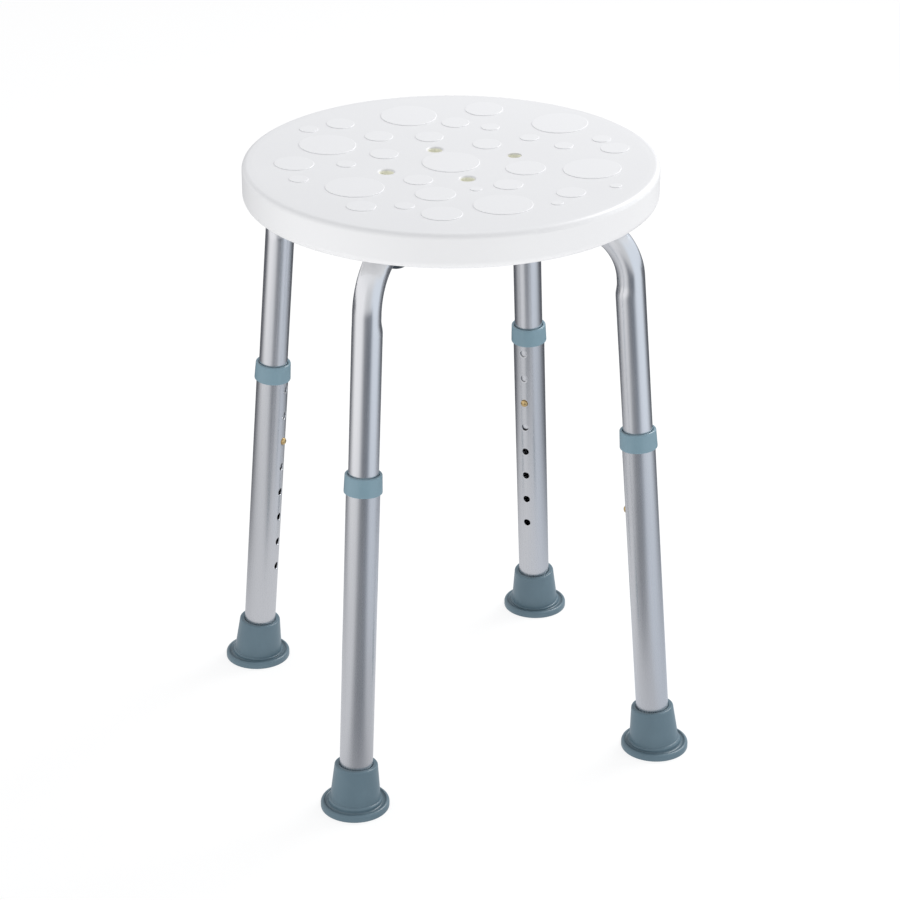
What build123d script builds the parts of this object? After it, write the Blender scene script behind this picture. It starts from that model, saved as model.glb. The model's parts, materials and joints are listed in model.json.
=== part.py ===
"""Shower stool with a round moulded seat and four telescopic legs, in millimetres.

The origin is on the floor under the middle of the seat and +Z is up. The legs stand on the diagonals.
Each leg is an upper tube, bent inwards under the seat, that slides in a lower tube with a row of holes.
A sprung button in the upper tube snaps into one of the holes. Lengths along a leg are measured on its
axis, up from the floor.
"""
from build123d import *
from math import cos, radians, sin, sqrt, tan
import os

os.makedirs("parts", exist_ok=True)

# ---- driving dimensions ----
# Seat: a blow-moulded double-walled disc.
SEAT_DIAMETER = 345.0
SEAT_THICKNESS = 29.5
SEAT_WALL = 3.0
RIM_TOP_ROUND = 4.5
RIM_UNDER_ROUND = 6.0
CAVITY_ROUND = 1.5
RIM_LAND = 4.0  # flat ring between the rim's top round and the dish
DISH_DEPTH = 3.5
DRAIN_DIAMETER = 12.0
DRAIN_ROUND = 2.0  # on the upper edge of a drain hole
DRAIN_LONG = 56.5  # from the middle to the two drain holes on the X axis
DRAIN_SHORT = 38.0  # and to the two on the Y axis

# Raised anti-slip discs on the seat: {radius: [(x, y), ...]}.
RELIEF_HEIGHT = 0.6
RELIEF_ROUND = 0.45  # on the discs' upper edges
RELIEF_ROOT = 0.5  # how far the discs reach into the skin that carries them
BUBBLES = {
    24.0: [(1, 3), (7, 122), (121, 57), (102, -57), (3, -109), (-94, -29), (-82, 76)],
    16.5: [(74, 115), (-123, 40), (53, -33), (-38, -65), (-50, -112)],
    12.0: [(-55, 122), (39, 93), (-34, 83), (6, 68), (45, 34), (139, -19), (-44, 41),
           (-39, -28), (25, -65), (64, -103), (-104, -74)],
    8.0: [(-85, 117), (63, 72), (84, 35), (103, 5), (138, 7), (-82, 27), (-131, 3), (-71, -84)],
    5.0: [(103, -103), (-3, -65), (44, -122)],
}

# Tubes.
UPPER_DIAMETER = 25.0
LOWER_DIAMETER = 28.0
TUBE_WALL = 1.2
BEND_RADIUS = 44.0  # centre line of the bend under the seat

# Stance.
SEAT_HEIGHT = 511.5  # rim of the seat above the floor, with the button in the hole that HOLE_USED names
FOOT_CIRCLE = 195.5  # radius of the circle on which the leg axes meet the floor
LEG_SPLAY = 4.67  # degrees from upright
RUN_SINK = 6.5  # from the seat's underside down to the axis of a tube's level run
RUN_END = 18.0  # from the stool's axis to the end of a level run

# Height adjustment.
HOLE_DIAMETER = 6.6
HOLE_PITCH = 25.4
HOLE_COUNT = 8
HOLE_USED = 3  # counted from the top
BUTTON_PLACE = 225.6  # along the leg
UPPER_TAIL = 32.0  # part of the upper tube below the button
LOWER_MARGIN = 21.3  # part of the lower tube above its first hole

# Snap button and its spring clip.
BUTTON_DIAMETER = 6.2
BUTTON_PROUD = 2.4  # how far the dome stands out of the lower tube
BUTTON_DOME = 1.6
BUTTON_FLANGE_DIAMETER = 8.6
BUTTON_FLANGE = 1.0
CLIP_WIDTH = 9.0
CLIP_THICKNESS = 0.6
CLIP_ARM = 27.0
CLIP_TAIL = 8.0  # part of an arm below the button

# Collar on the lower tube.
COLLAR_DIAMETER = 31.8
COLLAR_TOP_DIAMETER = 30.8
COLLAR_HEIGHT = 16.4
COLLAR_LIP = 3.2  # part above the lower tube
COLLAR_ROUND = 1.3
COLLAR_CHAMFER = 0.8
FUNNEL_WIDTH = 1.0
FUNNEL_DEPTH = 1.5

# Foot.
FOOT_DIAMETER = 58.0
FLANGE_HEIGHT = 6.0
FLANGE_ROUND = 2.4
SOLE_CHAMFER = 0.7
FOOT_HEIGHT = 39.5
CONE_DIAMETER = 42.0
CONE_TOP_DIAMETER = 36.6
CONE_ROOT_ROUND = 3.0
RIM_ROUND = 1.5
SOCKET_FLOOR = 7.0
SOCKET_CHAMFER = 1.0
WASHER_THICKNESS = 1.5
WASHER_HOLE = 10.0
SOLE_PAD = 11.0  # radius of the flat pad in the middle of the sole
SOLE_GROOVE = 3.0
SOLE_RING = 5.0
SOLE_GROOVE_DEPTH = 1.0

# Saddle clamps and centre hub.
SADDLE_LENGTH = 22.0
SADDLE_GAP = 1.0  # from the bend to the clamp
SADDLE_WALL = 6.5
SADDLE_CHAMFER = 1.0
SADDLE_FLANGE = 4.0
SADDLE_HALF_WIDTH = 34.0
SADDLE_CORNER = 6.0
SADDLE_SCREW_OUT = 27.0
HUB_DIAMETER = 58.0
HUB_FLOOR = 4.0  # plastic under the tubes
HUB_ROUND = 3.0

# Screws.
SCREW_DIAMETER = 4.2
SCREW_HEAD_DIAMETER = 8.4
SCREW_HEAD = 2.8
SCREW_GRIP = 13.0  # length in the seat
HUB_SCREW_DIAMETER = 6.0
HUB_SCREW_HEAD_DIAMETER = 12.0
HUB_SCREW_HEAD = 3.6
HEAD_ROUND = 1.2

# Clearances.
FIT = 0.1  # between pieces that stay together, on the radius
SLIDE = 0.3  # between the collar and the tube that slides in it, on the radius

# ---- values that follow from them ----
SEAT_RADIUS = SEAT_DIAMETER / 2
DISH_RADIUS = SEAT_RADIUS - RIM_TOP_ROUND - RIM_LAND
DISH_SPHERE = (DISH_RADIUS**2 + DISH_DEPTH**2) / (2 * DISH_DEPTH)  # the dish is part of a sphere
UNDERSIDE = SEAT_HEIGHT - SEAT_THICKNESS
UPPER_RADIUS = UPPER_DIAMETER / 2
LOWER_RADIUS = LOWER_DIAMETER / 2
UPPER_BORE = UPPER_RADIUS - TUBE_WALL
LOWER_BORE = LOWER_RADIUS - TUBE_WALL
CHANNEL_RADIUS = UPPER_RADIUS + FIT
SPLAY = radians(LEG_SPLAY)
RUN_HEIGHT = UNDERSIDE - RUN_SINK
CORNER_RADIUS = FOOT_CIRCLE - RUN_HEIGHT * tan(SPLAY)  # where a leg's axis meets its level run
BEND_END = CORNER_RADIUS - BEND_RADIUS * tan((radians(90) - SPLAY) / 2)
UPPER_TUBE_BOTTOM = BUTTON_PLACE - UPPER_TAIL
FIRST_HOLE = BUTTON_PLACE + (HOLE_USED - 1) * HOLE_PITCH
LOWER_TUBE_TOP = FIRST_HOLE + LOWER_MARGIN
LOWER_TUBE_BOTTOM = SOCKET_FLOOR + WASHER_THICKNESS
SADDLE_PLACE = BEND_END - SADDLE_GAP - SADDLE_LENGTH / 2
HUB_BOTTOM = RUN_HEIGHT - UPPER_RADIUS - HUB_FLOOR

LEGS = {"front_left": 225, "front_right": 315, "back_right": 45, "back_left": 135}

# A leg's own frame at azimuth 0: Z up its axis from the floor, X towards the stool's axis.
LEG = Plane(
    origin=(FOOT_CIRCLE, 0, 0),
    x_dir=(-cos(SPLAY), 0, -sin(SPLAY)),
    z_dir=(-sin(SPLAY), 0, cos(SPLAY)),
)
MIN = (Align.CENTER, Align.CENTER, Align.MIN)


def write(solid, node):
    """Writes one sub-part."""
    export_step(solid, f"parts/{node}.step")


def write_four(solid, name):
    """Writes the copy of a piece for each leg, from the one at azimuth 0."""
    for leg, azimuth in LEGS.items():
        write(Rot(0, 0, azimuth) * solid, f"{name}_{leg}")


def spun(*edges):
    """A solid of revolution about Z from a closed profile in the XZ plane."""
    return revolve(make_face(edges), Axis.Z, 360)


def chain(*points):
    """Straight edges through (radius, height) points."""
    return Polyline(*[(r, 0, z) for r, z in points])


def arc(start, end, centre):
    """The short arc from one (radius, height) point to another, round a centre."""
    radius = sqrt((start[0] - centre[0]) ** 2 + (start[1] - centre[1]) ** 2)
    across = ((start[0] + end[0]) / 2 - centre[0], (start[1] + end[1]) / 2 - centre[1])
    reach = radius / sqrt(across[0] ** 2 + across[1] ** 2)
    middle = (centre[0] + across[0] * reach, centre[1] + across[1] * reach)
    return ThreePointArc(*[(r, 0, z) for r, z in (start, middle, end)])


def top_round(radius, height, size):
    """A quarter round at an outer top corner."""
    return arc((radius, height - size), (radius - size, height), (radius - size, height - size))


def rod(radius, low, high, place=(0, 0)):
    """An upright cylinder between two heights."""
    return Pos(place[0], place[1], low) * Cylinder(radius, high - low, align=MIN)


def bar(radius, start, end, height):
    """A cylinder along X between two places."""
    across = Plane(origin=(start, 0, height), x_dir=(0, 1, 0), z_dir=(1, 0, 0))
    return across * Cylinder(radius, end - start, align=MIN)


def along_leg(radius, bottom, run_end):
    """A round bar up the leg's axis, round the bend and inwards to run_end, at azimuth 0."""
    foot = (FOOT_CIRCLE - bottom * sin(SPLAY), 0, bottom * cos(SPLAY))
    corner = (CORNER_RADIUS, 0, RUN_HEIGHT)
    path = FilletPolyline(foot, corner, (run_end, 0, RUN_HEIGHT), radius=BEND_RADIUS)
    return sweep(Plane(origin=path @ 0, z_dir=path % 0) * Circle(radius), path=path)


# ---- seat ----
def bowl(lift):
    """What lies inside the sphere of the dish, raised by lift. Its poles and seam lie clear of the seat."""
    return Pos(0, 0, SEAT_HEIGHT - DISH_DEPTH + DISH_SPHERE + lift) * Sphere(DISH_SPHERE, rotation=(90, 0, 0))


def disc(inset, shoulder, heel):
    """The seat's body, or the space inside it where inset is the wall: a dished top and a rim with rounds."""
    radius, top, bottom = SEAT_RADIUS - inset, SEAT_HEIGHT - inset, UNDERSIDE + inset
    body = spun(
        chain((0, top), (radius - shoulder, top)),
        top_round(radius, top, shoulder),
        chain((radius, top - shoulder), (radius, bottom + heel)),
        arc((radius, bottom + heel), (radius - heel, bottom), (radius - heel, bottom + heel)),
        chain((radius - heel, bottom), (0, bottom), (0, top)),
    )
    return body - bowl(-inset)


def relief():
    """The raised discs: short rods between two bowls, one above the skin and one inside it."""
    low, high = SEAT_HEIGHT - DISH_DEPTH - SEAT_WALL, SEAT_HEIGHT + RELIEF_HEIGHT
    for radius, places in BUBBLES.items():
        for place in places:
            bubble = (rod(radius, low, high, place) - bowl(RELIEF_HEIGHT)) & bowl(-RELIEF_ROOT)
            brims = bubble.edges().filter_by(GeomType.LINE, reverse=True)
            yield fillet(brims.sort_by(Axis.Z)[-1], RELIEF_ROUND)


def screw_places():
    """Places of the saddle clamps' screws on the seat's underside."""
    for azimuth in LEGS.values():
        for side in (-1, 1):
            point = Vector(SADDLE_PLACE, side * SADDLE_SCREW_OUT, 0).rotate(Axis.Z, azimuth)
            yield point.X, point.Y


def drain_places():
    return [(DRAIN_LONG, 0), (0, DRAIN_SHORT), (-DRAIN_LONG, 0), (0, -DRAIN_SHORT)]


def skin():
    """The seat's outside without relief: a dished disc whose drain holes open in a round."""
    low, high = UNDERSIDE - SEAT_WALL, SEAT_HEIGHT + SEAT_WALL
    body = disc(0, RIM_TOP_ROUND, RIM_UNDER_ROUND)
    body -= [rod(DRAIN_DIAMETER / 2, low, high, place) for place in drain_places()]
    mouths = body.edges().filter_by_position(Axis.Z, SEAT_HEIGHT - DISH_DEPTH, SEAT_HEIGHT)
    return fillet(mouths.sort_by(SortBy.LENGTH)[: len(drain_places())], DRAIN_ROUND)


def channels(radius):
    """The four bars that the tubes' upper ends lie in."""
    one = along_leg(radius, UPPER_TUBE_BOTTOM, RUN_END - FIT)
    return [Rot(0, 0, azimuth) * one for azimuth in LEGS.values()]


def seat():
    """Hollow seat with channels for the tubes, drain holes, screw bosses and raised discs."""
    boss_top = UNDERSIDE + SCREW_GRIP + SEAT_WALL
    cavity = disc(SEAT_WALL, CAVITY_ROUND, RIM_UNDER_ROUND - SEAT_WALL)
    cavity -= channels(CHANNEL_RADIUS + SEAT_WALL)
    cavity -= [rod(DRAIN_DIAMETER / 2 + SEAT_WALL, UNDERSIDE, SEAT_HEIGHT, place) for place in drain_places()]
    cavity -= [rod(SCREW_DIAMETER / 2 + SEAT_WALL, UNDERSIDE, boss_top, place) for place in screw_places()]
    cavity -= rod(HUB_SCREW_DIAMETER / 2 + SEAT_WALL, UNDERSIDE, boss_top)
    body = skin() + list(relief())
    body -= channels(CHANNEL_RADIUS)
    screw_top = UNDERSIDE + SCREW_GRIP + FIT
    body -= [rod(SCREW_DIAMETER / 2 + FIT, UNDERSIDE - FIT, screw_top, place) for place in screw_places()]
    body -= rod(HUB_SCREW_DIAMETER / 2 + FIT, UNDERSIDE - FIT, screw_top)
    return body - cavity


# ---- what holds the tubes to the seat ----
def saddle():
    """Clamp at azimuth 0: an arch under the tube and two flanges that screw to the seat."""
    low, high = SADDLE_PLACE - SADDLE_LENGTH / 2, SADDLE_PLACE + SADDLE_LENGTH / 2
    plate = RectangleRounded(SADDLE_LENGTH, 2 * SADDLE_HALF_WIDTH, SADDLE_CORNER)
    flanges = extrude(Pos(SADDLE_PLACE, 0, UNDERSIDE - SADDLE_FLANGE) * plate, SADDLE_FLANGE)
    arch = bar(UPPER_RADIUS + SADDLE_WALL, low, high, RUN_HEIGHT)
    arch = chamfer(arch.edges().filter_by(GeomType.CIRCLE), SADDLE_CHAMFER)
    above = Pos(SADDLE_PLACE, 0, UNDERSIDE) * Box(
        SADDLE_LENGTH, 2 * SADDLE_HALF_WIDTH, SEAT_THICKNESS, align=MIN
    )
    body = flanges + (arch - above) - bar(CHANNEL_RADIUS, low - FIT, high + FIT, RUN_HEIGHT)
    holes = [
        rod(SCREW_DIAMETER / 2 + FIT, UNDERSIDE - SADDLE_FLANGE - FIT, UNDERSIDE + FIT, (SADDLE_PLACE, side))
        for side in (-SADDLE_SCREW_OUT, SADDLE_SCREW_OUT)
    ]
    return body - holes


def hub():
    """Boss that holds the inner ends of the four tubes up in their channels."""
    body = rod(HUB_DIAMETER / 2, HUB_BOTTOM, UNDERSIDE)
    body = fillet(body.edges().sort_by(Axis.Z)[0], HUB_ROUND)
    run = bar(CHANNEL_RADIUS, RUN_END - FIT, HUB_DIAMETER, RUN_HEIGHT)
    body -= [Rot(0, 0, azimuth) * run for azimuth in LEGS.values()]
    body -= rod(HUB_SCREW_DIAMETER / 2 + FIT, HUB_BOTTOM, UNDERSIDE)
    return body - rod(HUB_SCREW_HEAD_DIAMETER / 2 + FIT, HUB_BOTTOM, HUB_BOTTOM + HUB_SCREW_HEAD)


def screw(diameter, head_diameter, head, bearing, place):
    """A pan-head screw, head down: its head's upper face is at bearing and its end is in the seat."""
    cap = rod(head_diameter / 2, bearing - head, bearing, place)
    cap = fillet(cap.edges().sort_by(Axis.Z)[0], HEAD_ROUND)
    return cap + rod(diameter / 2, bearing - FIT, UNDERSIDE + SCREW_GRIP, place)


# ---- legs, at azimuth 0 ----
def upper_tube():
    """Tube from inside the lower tube, up and round the bend to the hub, with the button's hole."""
    bar_solid = along_leg(UPPER_RADIUS, UPPER_TUBE_BOTTOM, RUN_END)
    bore = along_leg(UPPER_BORE, UPPER_TUBE_BOTTOM - TUBE_WALL, RUN_END - TUBE_WALL)
    return bar_solid - bore - LEG * bar(HOLE_DIAMETER / 2, 0, LOWER_RADIUS, BUTTON_PLACE)


def lower_tube():
    """Tube with a row of holes that faces the stool's axis."""
    body = rod(LOWER_RADIUS, LOWER_TUBE_BOTTOM, LOWER_TUBE_TOP)
    body -= rod(LOWER_BORE, LOWER_TUBE_BOTTOM - FIT, LOWER_TUBE_TOP + FIT)
    row = [bar(HOLE_DIAMETER / 2, 0, LOWER_DIAMETER, FIRST_HOLE - i * HOLE_PITCH) for i in range(HOLE_COUNT)]
    return LEG * (body - row)


def collar():
    """Sleeve on the top of the lower tube, with a lip that centres the upper tube."""
    grip, guide = LOWER_RADIUS + FIT, UPPER_RADIUS + SLIDE
    top = LOWER_TUBE_TOP + COLLAR_LIP
    bottom = top - COLLAR_HEIGHT
    foot, crown = COLLAR_DIAMETER / 2, COLLAR_TOP_DIAMETER / 2
    return LEG * spun(
        chain(
            (grip, bottom),
            (foot - COLLAR_CHAMFER, bottom),
            (foot, bottom + COLLAR_CHAMFER),
            (crown, top - COLLAR_ROUND),
        ),
        top_round(crown, top, COLLAR_ROUND),
        chain(
            (crown - COLLAR_ROUND, top),
            (guide + FUNNEL_WIDTH, top),
            (guide, top - FUNNEL_DEPTH),
            (guide, LOWER_TUBE_TOP),
            (grip, LOWER_TUBE_TOP),
            (grip, bottom),
        ),
    )


def button():
    """Snap button: a domed stem through both tubes and a flange inside the upper one."""
    stem, flange = BUTTON_DIAMETER / 2, BUTTON_FLANGE_DIAMETER / 2
    flange_top = sqrt(UPPER_BORE**2 - flange**2) - FIT
    tip = LOWER_RADIUS + BUTTON_PROUD
    shoulder = tip - BUTTON_DOME
    ball = (stem**2 + BUTTON_DOME**2) / (2 * BUTTON_DOME)
    body = spun(
        chain((0, flange_top - BUTTON_FLANGE), (flange, flange_top - BUTTON_FLANGE), (flange, flange_top)),
        chain((flange, flange_top), (stem, flange_top), (stem, shoulder)),
        arc((stem, shoulder), (0, tip), (0, tip - ball)),
        chain((0, tip), (0, flange_top - BUTTON_FLANGE)),
    )
    outwards = Plane(origin=(0, 0, BUTTON_PLACE), x_dir=(0, 1, 0), z_dir=(1, 0, 0))
    return LEG * (outwards * body)


def spring_clip():
    """Hairpin of flat steel: one arm behind the button, the other against the tube's far wall."""
    flange_top = sqrt(UPPER_BORE**2 - (BUTTON_FLANGE_DIAMETER / 2) ** 2) - FIT
    near = flange_top - BUTTON_FLANGE - FIT
    far = FIT - sqrt(UPPER_BORE**2 - (CLIP_WIDTH / 2) ** 2)
    low = BUTTON_PLACE - CLIP_TAIL
    high = low + CLIP_ARM
    middle = (near + far) / 2
    t = CLIP_THICKNESS
    half = (near - far) / 2
    profile = make_face(
        [
            chain((near - t, high), (near - t, low), (near, low), (near, high)),
            ThreePointArc((near, 0, high), (middle, 0, high + half), (far, 0, high)),
            chain((far, high), (far, low), (far + t, low), (far + t, high)),
            ThreePointArc((far + t, 0, high), (middle, 0, high + half - t), (near - t, 0, high)),
        ]
    )
    return LEG * extrude(profile, CLIP_WIDTH / 2, both=True)


# ---- feet, at azimuth 0 ----
def sole_grooves():
    """Rings cut in the sole, from the middle pad out to the flange's edge."""
    inner = SOLE_PAD
    while inner + SOLE_GROOVE + SOLE_RING < FOOT_DIAMETER / 2:
        outer = inner + SOLE_GROOVE
        yield rod(outer, -FIT, SOLE_GROOVE_DEPTH) - rod(inner, -FIT, SOLE_GROOVE_DEPTH)
        inner = outer + SOLE_RING


def foot():
    """Rubber foot: a level flange on the floor and a cone that holds the leaning tube."""
    edge, rim = FOOT_DIAMETER / 2, CONE_TOP_DIAMETER / 2
    flange = spun(
        chain((0, FLANGE_HEIGHT), (0, 0), (edge - SOLE_CHAMFER, 0), (edge, SOLE_CHAMFER)),
        chain((edge, SOLE_CHAMFER), (edge, FLANGE_HEIGHT - FLANGE_ROUND)),
        top_round(edge, FLANGE_HEIGHT, FLANGE_ROUND),
        chain((edge - FLANGE_ROUND, FLANGE_HEIGHT), (0, FLANGE_HEIGHT)),
    )
    cone = spun(
        chain((0, FOOT_HEIGHT), (0, FLANGE_HEIGHT / 2), (CONE_DIAMETER / 2, FLANGE_HEIGHT / 2)),
        chain((CONE_DIAMETER / 2, FLANGE_HEIGHT / 2), (rim, FOOT_HEIGHT - RIM_ROUND)),
        top_round(rim, FOOT_HEIGHT, RIM_ROUND),
        chain((rim - RIM_ROUND, FOOT_HEIGHT), (0, FOOT_HEIGHT)),
    )
    body = Pos(FOOT_CIRCLE, 0, 0) * flange + LEG * cone
    at_root = body.edges().filter_by_position(Axis.Z, FLANGE_HEIGHT - FIT, FLANGE_HEIGHT + FIT)
    body = fillet(at_root.sort_by(SortBy.LENGTH)[0], CONE_ROOT_ROUND)
    socket = LOWER_RADIUS + FIT
    mouth = Pos(0, 0, FOOT_HEIGHT - SOCKET_CHAMFER) * Cone(
        socket, socket + 2 * SOCKET_CHAMFER, 2 * SOCKET_CHAMFER, align=MIN
    )
    body -= LEG * (rod(socket, SOCKET_FLOOR, FOOT_HEIGHT + FIT) + mouth)
    return body - [Pos(FOOT_CIRCLE, 0, 0) * ring for ring in sole_grooves()]


def washer():
    """Steel washer that keeps the tube from cutting through the foot."""
    body = rod(LOWER_RADIUS, SOCKET_FLOOR, LOWER_TUBE_BOTTOM)
    return LEG * (body - rod(WASHER_HOLE / 2, SOCKET_FLOOR - FIT, LOWER_TUBE_BOTTOM + FIT))


# ---- sub-parts ----
write(seat(), "seat")
write(hub(), "centre_hub")
write(
    screw(HUB_SCREW_DIAMETER, HUB_SCREW_HEAD_DIAMETER, HUB_SCREW_HEAD, HUB_BOTTOM + HUB_SCREW_HEAD, (0, 0)),
    "hub_screw",
)
saddle_screws = [
    screw(SCREW_DIAMETER, SCREW_HEAD_DIAMETER, SCREW_HEAD, UNDERSIDE - SADDLE_FLANGE, place)
    for place in screw_places()
]
write(Compound(saddle_screws), "saddle_screws")
write_four(saddle(), "saddle_clamp")
write_four(upper_tube(), "upper_leg_tube")
write_four(button(), "snap_button")
write_four(spring_clip(), "spring_clip")
write_four(lower_tube(), "lower_leg_tube")
write_four(collar(), "collar")
write_four(foot(), "foot")
write_four(washer(), "foot_washer")
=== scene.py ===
# %% [markdown]
# # A shower stool, dressed piece by piece
# A round moulded seat stands on four telescopic aluminium legs with rubber feet. The construction
# comes from a CAD model and is loaded as a fixed frame: every piece below is made in that frame, in
# metres, so nothing has to be fitted afterwards. Blender adds the surfaces and their finishes.
# %% Load the frame
import json
import math

import bmesh
import bpy
import numpy as np
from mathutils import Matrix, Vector


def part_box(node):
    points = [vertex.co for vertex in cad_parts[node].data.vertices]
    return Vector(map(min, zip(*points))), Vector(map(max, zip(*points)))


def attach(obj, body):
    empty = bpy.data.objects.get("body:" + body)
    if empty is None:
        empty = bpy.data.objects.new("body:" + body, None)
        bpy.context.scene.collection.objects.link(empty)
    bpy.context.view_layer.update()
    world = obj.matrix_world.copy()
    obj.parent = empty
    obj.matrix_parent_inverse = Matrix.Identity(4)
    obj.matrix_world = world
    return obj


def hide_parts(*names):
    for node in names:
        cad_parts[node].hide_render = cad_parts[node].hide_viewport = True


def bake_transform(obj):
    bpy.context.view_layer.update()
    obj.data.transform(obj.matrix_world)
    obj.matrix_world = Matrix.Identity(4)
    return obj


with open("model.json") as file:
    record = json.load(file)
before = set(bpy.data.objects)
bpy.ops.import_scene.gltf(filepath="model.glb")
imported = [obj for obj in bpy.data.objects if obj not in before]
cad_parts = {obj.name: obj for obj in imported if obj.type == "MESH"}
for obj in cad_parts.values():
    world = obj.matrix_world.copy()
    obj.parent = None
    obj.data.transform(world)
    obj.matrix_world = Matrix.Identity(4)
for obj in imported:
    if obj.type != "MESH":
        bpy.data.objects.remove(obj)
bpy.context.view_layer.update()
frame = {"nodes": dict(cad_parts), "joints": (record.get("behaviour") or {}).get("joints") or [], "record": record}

MM = 0.001
LEGS = ["front_left", "front_right", "back_right", "back_left"]

# %% [markdown]
# ## A space for each leg
# The legs lean inwards, so their tubes, collars and holes are awkward to place in the stool's own
# axes. Each leg gets a space of its own instead: Z runs up the tubes from the floor and X points at
# the stool's axis. A piece is worked out once in that space and one matrix per leg puts it in place.
# The matrix comes from the frame: the sole's mount gives the origin and the slide joint gives Z.
# %% Leg spaces
def leg_space(leg):
    """Matrix from a leg's space to the stool's, with columns X, Y, Z and origin."""
    mount = next(m for m in frame["record"]["mounts"] if m["name"] == f"sole_{leg}")
    joint = next(j for j in frame["joints"] if j["name"] == f"height_{leg}")
    origin = Vector(mount["pos_m"])
    up = -Vector(joint["axis"]).normalized()
    side = up.cross(-origin).normalized()
    inward = side.cross(up)
    return np.array([[*inward, 0], [*side, 0], [*up, 0], [*origin, 1]]).T


SPACE = {leg: leg_space(leg) for leg in LEGS}


def placed(points, matrix):
    """Points moved by a matrix: p' = R p + t, for a whole array at once."""
    return points @ matrix[:3, :3].T + matrix[:3, 3]


def node_points(node, leg):
    """A construction node's points in its leg's space."""
    mesh = frame["nodes"][f"{node}_{leg}"].data
    points = np.empty(len(mesh.vertices) * 3, np.float32)
    mesh.vertices.foreach_get("co", points)
    return placed(points.reshape(-1, 3).astype(float), np.linalg.inv(SPACE[leg]))


def reach(node):
    """Lowest and highest place of a node along its leg's axis."""
    height = node_points(node, "front_left")[:, 2]
    return height.min(), height.max()


SPLAY = math.acos(SPACE["front_left"][2, 2])
FOOT_CIRCLE = math.hypot(*SPACE["front_left"][:2, 3])
print(f"legs lean {math.degrees(SPLAY):.2f} degrees on a circle of {FOOT_CIRCLE / MM:.1f} mm")

# %% [markdown]
# ## From arrays to meshes
# A shape here is a grid of points: rows along a profile or a path, columns around it. Neighbouring
# points make quads by index arithmetic on whole arrays. `make_piece` turns the arrays into a mesh,
# welds poles and seams, turns the faces outwards by the sign of the volume, and hands the piece to
# its body in the frame. The construction's own node is replaced by it.
# %% Mesh helpers
WELD = 1e-7


def band_quads(index):
    """Quads between the rows of an index grid whose last column joins the first."""
    right = np.roll(index, -1, axis=1)
    return np.stack([index[:-1], right[:-1], right[1:], index[1:]], axis=-1).reshape(-1, 4)


def grid_quads(rows, columns):
    """Quads of a whole grid of points."""
    return band_quads(np.arange(rows * columns).reshape(rows, columns))


def make_piece(name, points, quads, finish, body, node, straight=None):
    """A smooth mesh piece that stands for a construction node and rides on a body.

    `straight` keeps each point's place before bending, for the finish. A piece that is shared between two bodies
    has None as its body.
    """
    mesh = bpy.data.meshes.new(name)
    mesh.from_pydata(points.reshape(-1, 3).tolist(), [], quads.tolist())
    if straight is not None:
        layer = mesh.attributes.new("straight", "FLOAT_VECTOR", "POINT")
        layer.data.foreach_set("vector", straight.reshape(-1).astype(np.float32))
    shell = bmesh.new()
    shell.from_mesh(mesh)
    bmesh.ops.remove_doubles(shell, verts=shell.verts, dist=WELD)
    if shell.calc_volume(signed=True) < 0:
        bmesh.ops.reverse_faces(shell, faces=shell.faces)
    shell.to_mesh(mesh)
    shell.free()
    mesh.shade_smooth()
    piece = bpy.data.objects.new(name, mesh)
    bpy.context.scene.collection.objects.link(piece)
    mesh.materials.append(finish)
    if body:
        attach(piece, body)
    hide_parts(node)
    return piece


def arc(centre, radius, start, end, steps):
    """Points on an arc of a profile, as (distance from the axis, height), between two angles in degrees."""
    angle = np.radians(np.linspace(start, end, steps))
    return np.stack([centre[0] + radius * np.cos(angle), centre[1] + radius * np.sin(angle)], axis=1)


def held(profile, gap):
    """The profile with a point added near each end of its long stretches.

    Smooth shading averages the faces at a point, so a long flat face next to a round would look bent
    all the way along. With a point at `gap` from the round, only that short strip is shaded round.
    """
    start, step = profile[:-1], np.diff(profile, axis=0)
    length = np.linalg.norm(step, axis=1, keepdims=True)
    share = np.minimum(gap / np.maximum(length, 1e-9), 1 / 3)
    near, far = start + step * share, start + step * (1 - share)
    rows = np.stack([start, near, far], axis=1)
    keep = np.stack([np.ones(len(start), bool), *[(length > 3 * gap).ravel()] * 2], axis=1)
    return np.vstack([rows[keep], profile[-1:]])


def spun(profile, columns):
    """Turns a profile about Z: (r, z) becomes (r cos a, r sin a, z), rows along it and columns round."""
    angle = np.linspace(0, 2 * np.pi, columns, endpoint=False)
    r, z = profile[:, :1], profile[:, 1:2]
    return np.stack([r * np.cos(angle), r * np.sin(angle), z + 0 * angle], axis=-1)


def smooth(low, high, x):
    """0 below low, 1 above high and a soft S between: t squared times (3 - 2 t)."""
    t = np.clip((x - low) / (high - low), 0, 1)
    return t * t * (3 - 2 * t)

# %% [markdown]
# ## Writing shader maths as Python
# A material is a tree of nodes, and maths in it is one node per operation. `Socket` wraps an output
# and overloads the operators, so `1 - mask * 0.5` adds its Math nodes by itself. `Finish` holds one
# material: its `node` method adds any other node, with settings first and socket values after.
# %% Shader helpers
class Socket:
    """A value in a shader. Each operator adds a Math node."""

    def __init__(self, tree, socket):
        self.tree, self.socket = tree, socket

    def math(self, operation, *values):
        return add_node(self.tree, "ShaderNodeMath", {"operation": operation}, dict(enumerate(values)))

    def __add__(self, other):
        return self.math("ADD", self, other)

    def __sub__(self, other):
        return self.math("SUBTRACT", self, other)

    def __rsub__(self, other):
        return self.math("SUBTRACT", other, self)

    def __mul__(self, other):
        return self.math("MULTIPLY", self, other)

    def __truediv__(self, other):
        return self.math("DIVIDE", self, other)

    def __pow__(self, other):
        return self.math("POWER", self, other)

    def __abs__(self):
        return self.math("ABSOLUTE", self)

    def at_least(self, other):
        return self.math("MAXIMUM", self, other)

    def at_most(self, other):
        return self.math("MINIMUM", self, other)

    __radd__, __rmul__ = __add__, __mul__


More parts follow.
